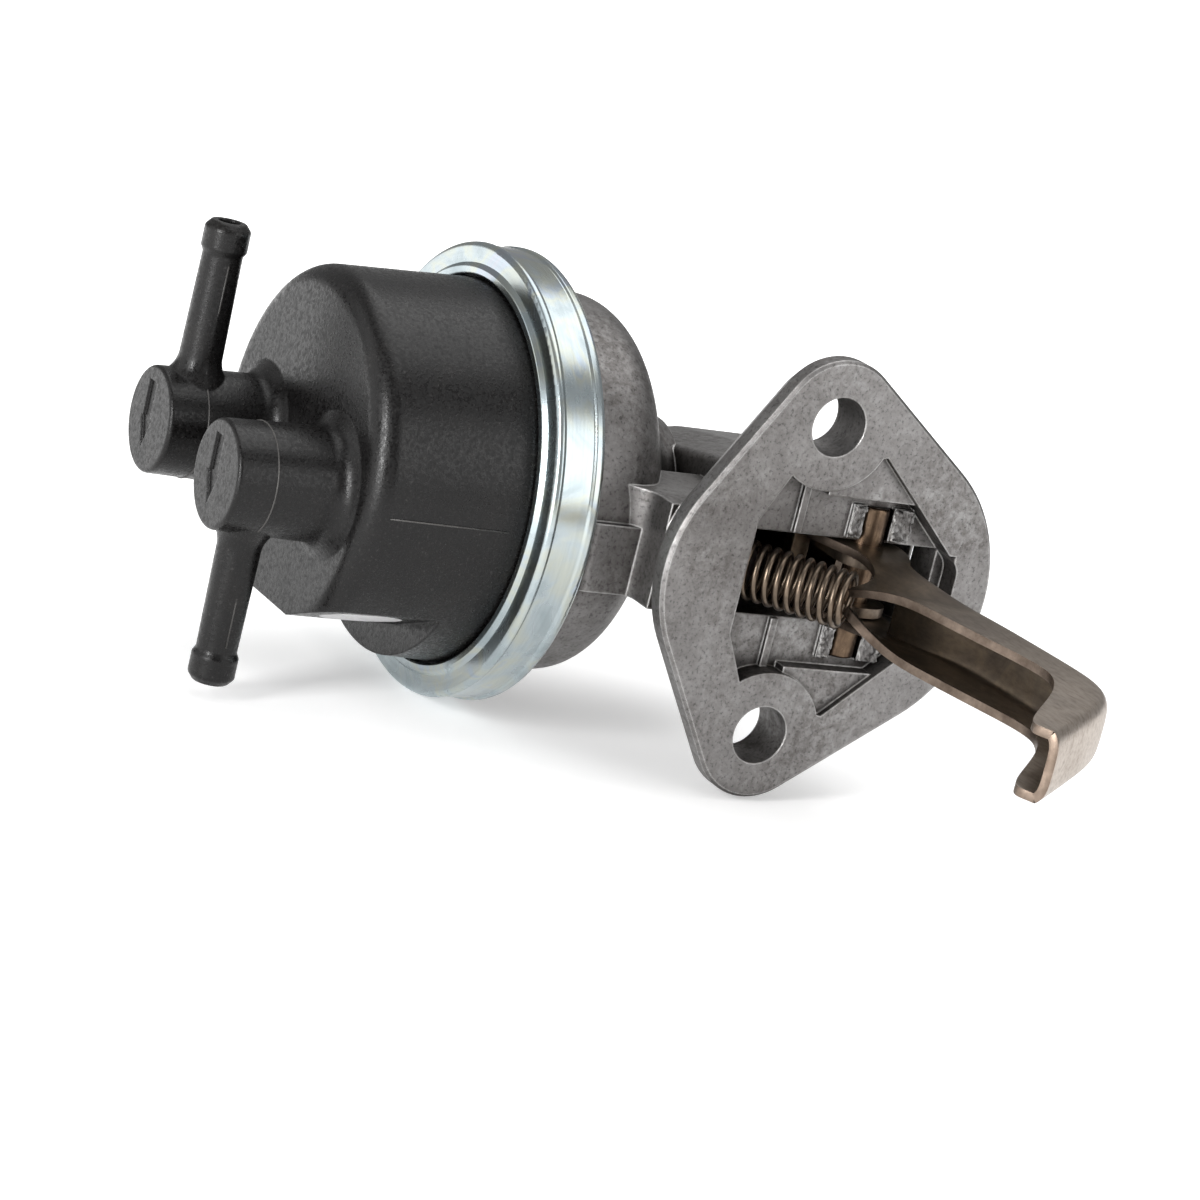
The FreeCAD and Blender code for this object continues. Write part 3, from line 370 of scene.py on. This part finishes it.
def rounded_block(low, high, segments):
    """Block with rounded edges between two corners, in millimetres."""
    low, high = Vector(low), Vector(high)
    mesh = bmesh.new()
    bmesh.ops.create_cube(mesh, size=1.0)
    bmesh.ops.scale(mesh, vec=high - low, verts=mesh.verts)
    bmesh.ops.translate(mesh, vec=(low + high) / 2, verts=mesh.verts)
    bmesh.ops.bevel(
        mesh, geom=list(mesh.verts) + list(mesh.edges), offset=0.3, affect="EDGES", segments=segments,
        profile=0.5, material=-1)
    return mesh


def staked_metal(name, low, high, seed, made):
    """Metal upset over the pin: a low pad whose top is crumpled, between two corners in millimetres."""
    mesh = rounded_block(low, high, 2)
    bmesh.ops.subdivide_edges(mesh, edges=mesh.edges, cuts=9, use_grid_fill=True)
    for vert in mesh.verts:
        rise = max(0.0, (vert.co.x - low[0]) / (high[0] - low[0]))
        spot = vert.co * 1.9 + Vector((seed * 7.3, seed * 2.1, 0))
        lump = noise.noise(spot) * 0.7 + noise.noise(spot * 2.6) * 0.45
        wander = noise.noise_vector(spot * 1.3) * 0.22
        vert.co += Vector((lump * rise, wander.y * rise, wander.z * rise))
    bmesh.ops.scale(mesh, vec=(MM, MM, MM), verts=mesh.verts)
    settle(mesh, name, made, "pump")


def dished_disc(outline, centre_x):
    """Full spin of a closed (radius, y) outline about the pump's axis, in millimetres."""
    mesh = bmesh.new()
    verts = [mesh.verts.new((centre_x + r, y, 0)) for r, y in outline]
    edges = [mesh.edges.new((verts[i - 1], verts[i])) for i in range(len(verts))]
    bmesh.ops.spin(
        mesh, geom=verts + edges, cent=(centre_x, 0, 0), axis=(0, 1, 0), angle=2 * math.pi,
        steps=96, use_merge=True)
    bmesh.ops.scale(mesh, vec=(MM, MM, MM), verts=mesh.verts)
    return mesh


def carried(sheet, row, places):
    """The row of points extruded along the sheet, to these places."""
    edges = [next(e for e in a.link_edges if e.other_vert(a) == b) for a, b in zip(row, row[1:])]
    grown = bmesh.ops.extrude_edge_only(sheet, edges=edges)["geom"]
    made = [part for part in grown if isinstance(part, bmesh.types.BMVert)]
    carried_row = [min(made, key=lambda vert: (vert.co - old.co).length) for old in row]
    for vert, place in zip(carried_row, places):
        vert.co = place
    return carried_row


def channel_section(web, free):
    """Half of the arm's section, from the free edge round the fold to the middle of the web."""
    half_width, fold = 5.0, 1.3
    web, free = Vector((*web, 0)), Vector((*free, 0))
    back = (web - free).normalized() * fold
    up = Vector((0, 0, half_width))
    return [free + up, free.lerp(web, 0.4) + up, free.lerp(web, 0.72) + up, web - back + up,
            web + Vector((0, 0, half_width - fold)), web]


def pressed_lever(face, cut):
    """The rocker lever's one sheet: hooked channel, pointed nose and the two ears at the pin. One half is
    drawn out row by row, mirrored, and given its thickness inwards."""
    sheet = bmesh.new()
    stations = [((27, 17.9), (27, 7.0)), ((37, 18.3), (36.5, 8.8)), ((46, 18.5), (44.5, 10.6)),
                ((52.0, 18.3), (49.6, 10.6)), ((57.4, 16.3), (52.6, 9.3)), ((62.0, 12.2), (56.4, 6.9)),
                ((67.4, 5.9), (61.6, 2.3)), ((73.0, -0.8), (67.2, -3.2)), ((77.1, -5.8), (72.6, -8.2))]
    start = [sheet.verts.new(v) for v in channel_section((20, 16.9), (19.8, 5.8))]
    for a, b in zip(start, start[1:]):
        sheet.edges.new((a, b))
    # Out along the arm to the hook's end
    row = start
    for web, free in stations:
        row = carried(sheet, row, channel_section(web, free))
    # Back to the nose and its lip
    row = carried(sheet, start, [
        (14, 4.8, 3.9), (13.6, 8.2, 5.0), (14, 12.0, 5.6), (14, 14.6, 5.6), (14, 15.6, 4.6), (14, 15.6, 0)])
    row = carried(sheet, row, [
        (10, 4.0, 2.7), (9.7, 7.0, 4.6), (8, 11.2, 6.0), (6, 14.2, 6.0), (5.5, 15.0, 5.0), (5.5, 15.0, 0)])
    carried(sheet, row[:2], [(6.4, 3.5, 1.5), (6.7, 5.3, 2.2)])
    # The ear round the pin, and its tail
    row = carried(sheet, row[1:4], [(3.0, 9.0, 6.0), (2.6, 13.0, 6.0), (2.0, 17.0, 6.0)])
    row = carried(sheet, row, [(-3.0, 7.0, 6.0), (-4.0, 13.0, 6.0), (-4.0, 18.9, 6.0)])
    row = carried(sheet, row, [(-8.0, 5.2, 6.0), (-10.6, 11.0, 6.0), (-9.6, 17.4, 6.0)])
    carried(sheet, row[:2], [(-14.8, 4.7, 6.0), (-14.8, 8.1, 6.0)])
    everything = list(sheet.verts) + list(sheet.edges) + list(sheet.faces)
    bmesh.ops.mirror(sheet, geom=everything, matrix=Matrix.Identity(4), merge_dist=0.01, axis="Z")
    bmesh.ops.remove_doubles(sheet, verts=sheet.verts, dist=0.01)
    bmesh.ops.scale(sheet, vec=(MM, MM, MM), verts=sheet.verts)
    piece = settle(sheet, "pressed_lever", face, "rocker")
    piece.data.materials.append(cut)
    smooth = piece.modifiers.new("smooth", "SUBSURF")
    smooth.levels = smooth.render_levels = 3
    thick = piece.modifiers.new("thick", "SOLIDIFY")
    thick.thickness = 1.25 * MM
    thick.offset = -1.0
    thick.use_even_offset = True
    thick.material_offset_rim = 1
    eased = piece.modifiers.new("eased", "BEVEL")
    eased.width = 0.22 * MM
    eased.segments = 2
    eased.limit_method = "ANGLE"
    eased.angle_limit = math.radians(50)
    return piece


def lever_bar(name, low, high, made):
    """Cross plate between the lever's two sides, between two corners in millimetres."""
    mesh = rounded_block(low, high, 3)
    bmesh.ops.scale(mesh, vec=(MM, MM, MM), verts=mesh.verts)
    settle(mesh, name, made, "rocker")


def mould_lines(made):
    """The cover's parting lines, in millimetres: fine ridges where the halves of its mould met, round each
    boss, down both sides of the spigots and along the shell."""
    boss_radius, spigot_radius, spigot_middle = 8.28, 3.05, 18.6
    shell_radius, shell_middle = 28.78, -50.9
    draft = math.atan(1.0 / 26.9)
    spigot_ridge = Matrix.Diagonal((0.24, 0.22, 13.0, 1.0))
    shell_ridge = Matrix.Diagonal((0.26, 19.0, 0.22, 1.0))
    mesh = bmesh.new()
    for x, up in ((PUMP_AXIS_X - BOSS_OFFSET, 1), (PUMP_AXIS_X + BOSS_OFFSET, -1)):
        circle = bmesh.ops.create_circle(mesh, segments=8, radius=0.13)["verts"]
        bmesh.ops.translate(mesh, verts=circle, vec=(x + boss_radius, PARTING_DEPTH, BOSS_HEIGHT))
        edges = list(dict.fromkeys(edge for vert in circle for edge in vert.link_edges))
        bmesh.ops.spin(
            mesh, geom=circle + edges, cent=(x, PARTING_DEPTH, BOSS_HEIGHT), axis=(0, 1, 0),
            angle=2 * math.pi, steps=72, use_merge=True)
        for side in (-1, 1):
            middle = (x + spigot_radius * side, PARTING_DEPTH, BOSS_HEIGHT + spigot_middle * up)
            bmesh.ops.create_cube(mesh, size=1.0, matrix=Matrix.Translation(middle) @ spigot_ridge)
    for side in (-1, 1):
        middle = (PUMP_AXIS_X + shell_radius * side, shell_middle, BOSS_HEIGHT)
        lean = Matrix.Rotation(-draft * side, 4, "Z")
        bmesh.ops.create_cube(mesh, size=1.0, matrix=Matrix.Translation(middle) @ lean @ shell_ridge)
    bmesh.ops.scale(mesh, vec=(MM, MM, MM), verts=mesh.verts)
    settle(mesh, "cover_mould_lines", made, "pump")


# Camera, lamps and floor

def make_camera():
    """At the photograph's viewing angle, fitted to the flange, its holes, the cover and the ring."""
    spot = (0.458271, -0.306125, 0.129556)
    right = Vector((0.447563, 0.863689, 0.231796))
    up = Vector((-0.327113, -0.083122, 0.941322))
    turn = Matrix((right, up, right.cross(up))).transposed().to_4x4()
    data = bpy.data.cameras.new("camera")
    data.lens = 115.33
    data.sensor_width = 36.0
    data.clip_start = 0.01
    camera = bpy.data.objects.new("camera", data)
    camera.matrix_world = Matrix.Translation(spot) @ turn
    bpy.context.scene.collection.objects.link(camera)
    bpy.context.scene.camera = camera


def lamp(name, spot, width, height, power):
    """White soft box that looks at the middle of the pump."""
    data = bpy.data.lights.new(name, "AREA")
    data.shape = "RECTANGLE"
    data.size = width
    data.size_y = height
    data.energy = power
    made = bpy.data.objects.new(name, data)
    middle_of_pump = Vector((-0.01, -0.02, 0.0))
    aim = middle_of_pump - Vector(spot)
    made.matrix_world = Matrix.Translation(spot) @ aim.to_track_quat("-Z", "Y").to_matrix().to_4x4()
    bpy.context.scene.collection.objects.link(made)


def make_floor(height):
    """White paper floor that keeps the shadow. It is lifted to white away from the pump, where the camera or
    a gloss sees it."""
    half_side, near, far_off, near_lift = 4.0, 0.04, 0.45, 0.34
    mesh = bmesh.new()
    bmesh.ops.create_grid(mesh, x_segments=8, y_segments=8, size=half_side)
    bmesh.ops.translate(mesh, verts=mesh.verts, vec=(0, 0, height))
    data = bpy.data.meshes.new("floor")
    mesh.to_mesh(data)
    mesh.free()
    made, tree, shader, coordinates = new_material("white_paper")
    fibre = add(tree, "ShaderNodeTexNoise", {
        "Vector": coordinates.outputs["Object"], "Scale": per_mm(2.0), "Detail": 3.0})
    tone = stops(tree, fibre, (0.3, grey(0.90)), (0.7, grey(0.93)))
    tree.links.new(tone, shader.inputs["Base Color"])
    shader.inputs["Roughness"].default_value = 0.9
    shader.inputs["Specular IOR Level"].default_value = 0.0
    away = add(tree, "ShaderNodeVectorMath", {0: coordinates.outputs["Object"]}, operation="LENGTH")
    far = add(tree, "ShaderNodeMapRange", {
        "Value": away.node.outputs["Value"], "From Min": near, "From Max": far_off,
        "To Min": near_lift, "To Max": 1.0})
    rays = add(tree, "ShaderNodeLightPath").node.outputs
    seen = add(tree, "ShaderNodeMath", {
        0: rays["Is Camera Ray"], 1: rays["Is Glossy Ray"]}, operation="MAXIMUM")
    lift = add(tree, "ShaderNodeMath", {0: far, 1: seen}, operation="MULTIPLY")
    shader.inputs["Emission Color"].default_value = WHITE
    tree.links.new(lift, shader.inputs["Emission Strength"])
    data.materials.append(made)
    floor = bpy.data.objects.new("floor", data)
    bpy.context.scene.collection.objects.link(floor)


def make_world():
    """Even light from all round, white to the camera and a little brighter in a gloss than on the pump."""
    world = bpy.data.worlds.new("studio")
    world.use_nodes = True
    tree = world.node_tree
    rays = add(tree, "ShaderNodeLightPath").node.outputs
    seen = add(tree, "ShaderNodeMath", {
        0: rays["Is Camera Ray"], 1: rays["Is Transmission Ray"]}, operation="MAXIMUM")
    shown = add(tree, "ShaderNodeMapRange", {"Value": seen, "To Min": WORLD_LEVEL, "To Max": 1.0})
    level = add(tree, "ShaderNodeMath", {
        0: rays["Is Glossy Ray"], 1: GLOSSY_LEVEL}, operation="MULTIPLY")
    strength = add(tree, "ShaderNodeMath", {0: shown, 1: level}, operation="MAXIMUM")
    background = tree.nodes["Background"]
    background.inputs["Color"].default_value = WHITE
    tree.links.new(strength, background.inputs["Strength"])
    bpy.context.scene.world = world


make_camera()
make_world()
make_floor(cad_box[0][2])
lamp("left_soft_box", (-0.50, -1.15, 0.45), 0.9, 0.9, 2.8)
lamp("front_soft_box", (0.50, -1.10, 0.30), 0.28, 0.75, 16.5)
lamp("top_soft_box", (-0.20, 0.20, 1.20), 1.3, 1.3, 10.5)
lamp("right_soft_box", (1.05, 0.65, 0.50), 0.9, 0.9, 6.0)
bpy.context.scene.view_settings.view_transform = "Standard"

aluminium = cast_aluminium()
dress(aluminium, "pump_body")
dress(moulded_nylon(), "top_cover")
dress(zinc_plate(), "clamp_ring")
# Hardened and oiled sheet: dark grey-brown, marked along its length
dress(steel("hardened_steel_link", "#5a5149", "#7c6f62", 0.32, 0.46, 0.6, (0.2, 1.0, 1.0)), "link_lever")
# Bar browned by oil, with fine lines along it
dress(steel("ground_pin_steel", "#4a3d33", "#6e5c4b", 0.24, 0.40, 0.4, (1.0, 1.0, 0.15)), "pivot_pin")
# Bright drawn rod: pale grey, with fine lines along it
dress(steel("bright_rod_steel", "#8d8c8b", "#aaa8a6", 0.22, 0.36, 0.4, (1.0, 0.15, 1.0)), "pull_rod")
# Pressed and thinly plated: pale grey with a little yellow in it
dress(steel("pressed_plate_steel", "#a5a8a6", "#c0c0b4", 0.28, 0.42, 0.5),
      "diaphragm_front_plate", "diaphragm_rear_plate", "seal_retainer")
# Bare foil: nearly white and satin
dress(steel("label_foil", "#d6d5d6", "#e2e1e2", 0.46, 0.56, 0.5), "cover_label")
# Stamped brass: warm yellow, half bright
dress(steel("stamped_brass", "#a88c4e", "#c2a566", 0.28, 0.40, 0.5), "inlet_valve_cage", "outlet_valve_cage")
# Moulded acetal: nearly black, satin
dress(plain_moulding("acetal_valve_plate", "#232322", "#2e2e2c", 0.42, 0.4), "valve_plate")
# Undyed nylon: cream, satin
dress(plain_moulding("natural_nylon", "#cfc9b4", "#ddd8c6", 0.45, 0.4), "inlet_strainer")
# Moulded rubbers: dull black, and a brown that is a little waxy
dress(plain_moulding("nitrile_rubber", "#171717", "#232323", 0.62, 0.3), "cover_seal", "rod_seal")
dress(plain_moulding("fluoro_rubber", "#3a2a22", "#4a362c", 0.55, 0.3),
      "inlet_valve_disc", "outlet_valve_disc")

# Scuffed ridges: a shade greyer than the cover
mould_lines(plain_moulding("scuffed_black_nylon", "#353332", "#474543", 0.5, 0.4))

# Drawn and oiled wire: brown-grey, half bright
wire_steel = steel("drawn_spring_wire", "#5a5046", "#7a6c5e", 0.26, 0.38, 0.3)

# The lever's spring leans from its seat in the housing up to the lever's nose
slant = math.radians(48.0)
coil_length, nose_x, nose_y = 18.0, 7.2, 4.4
way = (math.sin(slant), math.cos(slant), 0.0)
foot = (nose_x - way[0] * coil_length, nose_y - way[1] * coil_length, 0.0)
return_coil = settle(
    wound_wire(radius=4.0, wire=1.0, turns=11.0, length=coil_length, foot=foot, way=way, closed=0.8),
    "return_coil", wire_steel, "pump")
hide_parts("lever_return_spring")
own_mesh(return_coil)

# The diaphragm's spring stands on the rear plate
main_coil = settle(
    wound_wire(
        radius=10.97, wire=1.8, turns=5.0, length=23.5, foot=(PUMP_AXIS_X, -37.05, 0.0), way=(0, 1, 0),
        closed=0.75),
    "main_coil", wire_steel, "pump")
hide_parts("diaphragm_spring")
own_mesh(main_coil)

# The valves' springs press the inlet's disc forwards and the outlet's disc back
for name, x, start, up in (("inlet", -55.5, -48.7, 1), ("outlet", -31.5, -45.4, -1)):
    small = settle(
        wound_wire(
            radius=2.6, wire=0.6, turns=3.5, length=4.2, foot=(x, start, 0.0), way=(0, up, 0), closed=0.5),
        name + "_valve_coil", wire_steel, "pump")
    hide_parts(name + "_valve_spring")
    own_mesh(small)

# The diaphragm hangs between its two plates inside and the clamped rim outside
upper_side = [(2.6, -39.25), (16.6, -39.25), (17.6, -39.0), (18.3, -38.4), (21.6, -34.3), (22.4, -33.5),
              (23.4, -33.25), (32.6, -33.25)]
lower_side = [(32.6, -34.15), (23.0, -34.15), (21.9, -34.4), (21.0, -35.0), (17.6, -39.2), (16.9, -39.9),
              (15.9, -40.15), (2.6, -40.15)]
dish = dished_disc(upper_side + lower_side, PUMP_AXIS_X)
dish = settle(dish, "dished_diaphragm", proofed_cloth(), "pump")
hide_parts("diaphragm")
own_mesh(dish)

# Metal staked over both ends of the pin, on either side of it; the seed keeps its crumples the same each run
noise.seed_set(1)
stakes = ((7.0, 12.0, 8.3, 10.4), (7.0, 12.0, 15.6, 19.0),
          (-12.0, -7.0, 8.3, 10.4), (-12.0, -7.0, 15.6, 19.0))
for seed, (z0, z1, y0, y1) in enumerate(stakes):
    staked_metal("staked_metal_%d" % (seed + 1), (-4.2, y0, z0), (-2.75, y1, z1), seed, aluminium)

# The lever and its bar; its sheared edges are bare and lighter, with coarser marks
lever_sheet = tempered_sheet()
sheared = steel("sheared_steel_edge", "#62554b", "#938376", 0.34, 0.48, 0.8)
lever = pressed_lever(lever_sheet, sheared)
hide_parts("rocker_lever")
lever_bar("lever_cross_bar", (-14.4, 5.0, -4.9), (-11.8, 8.1, 4.9), lever_sheet)
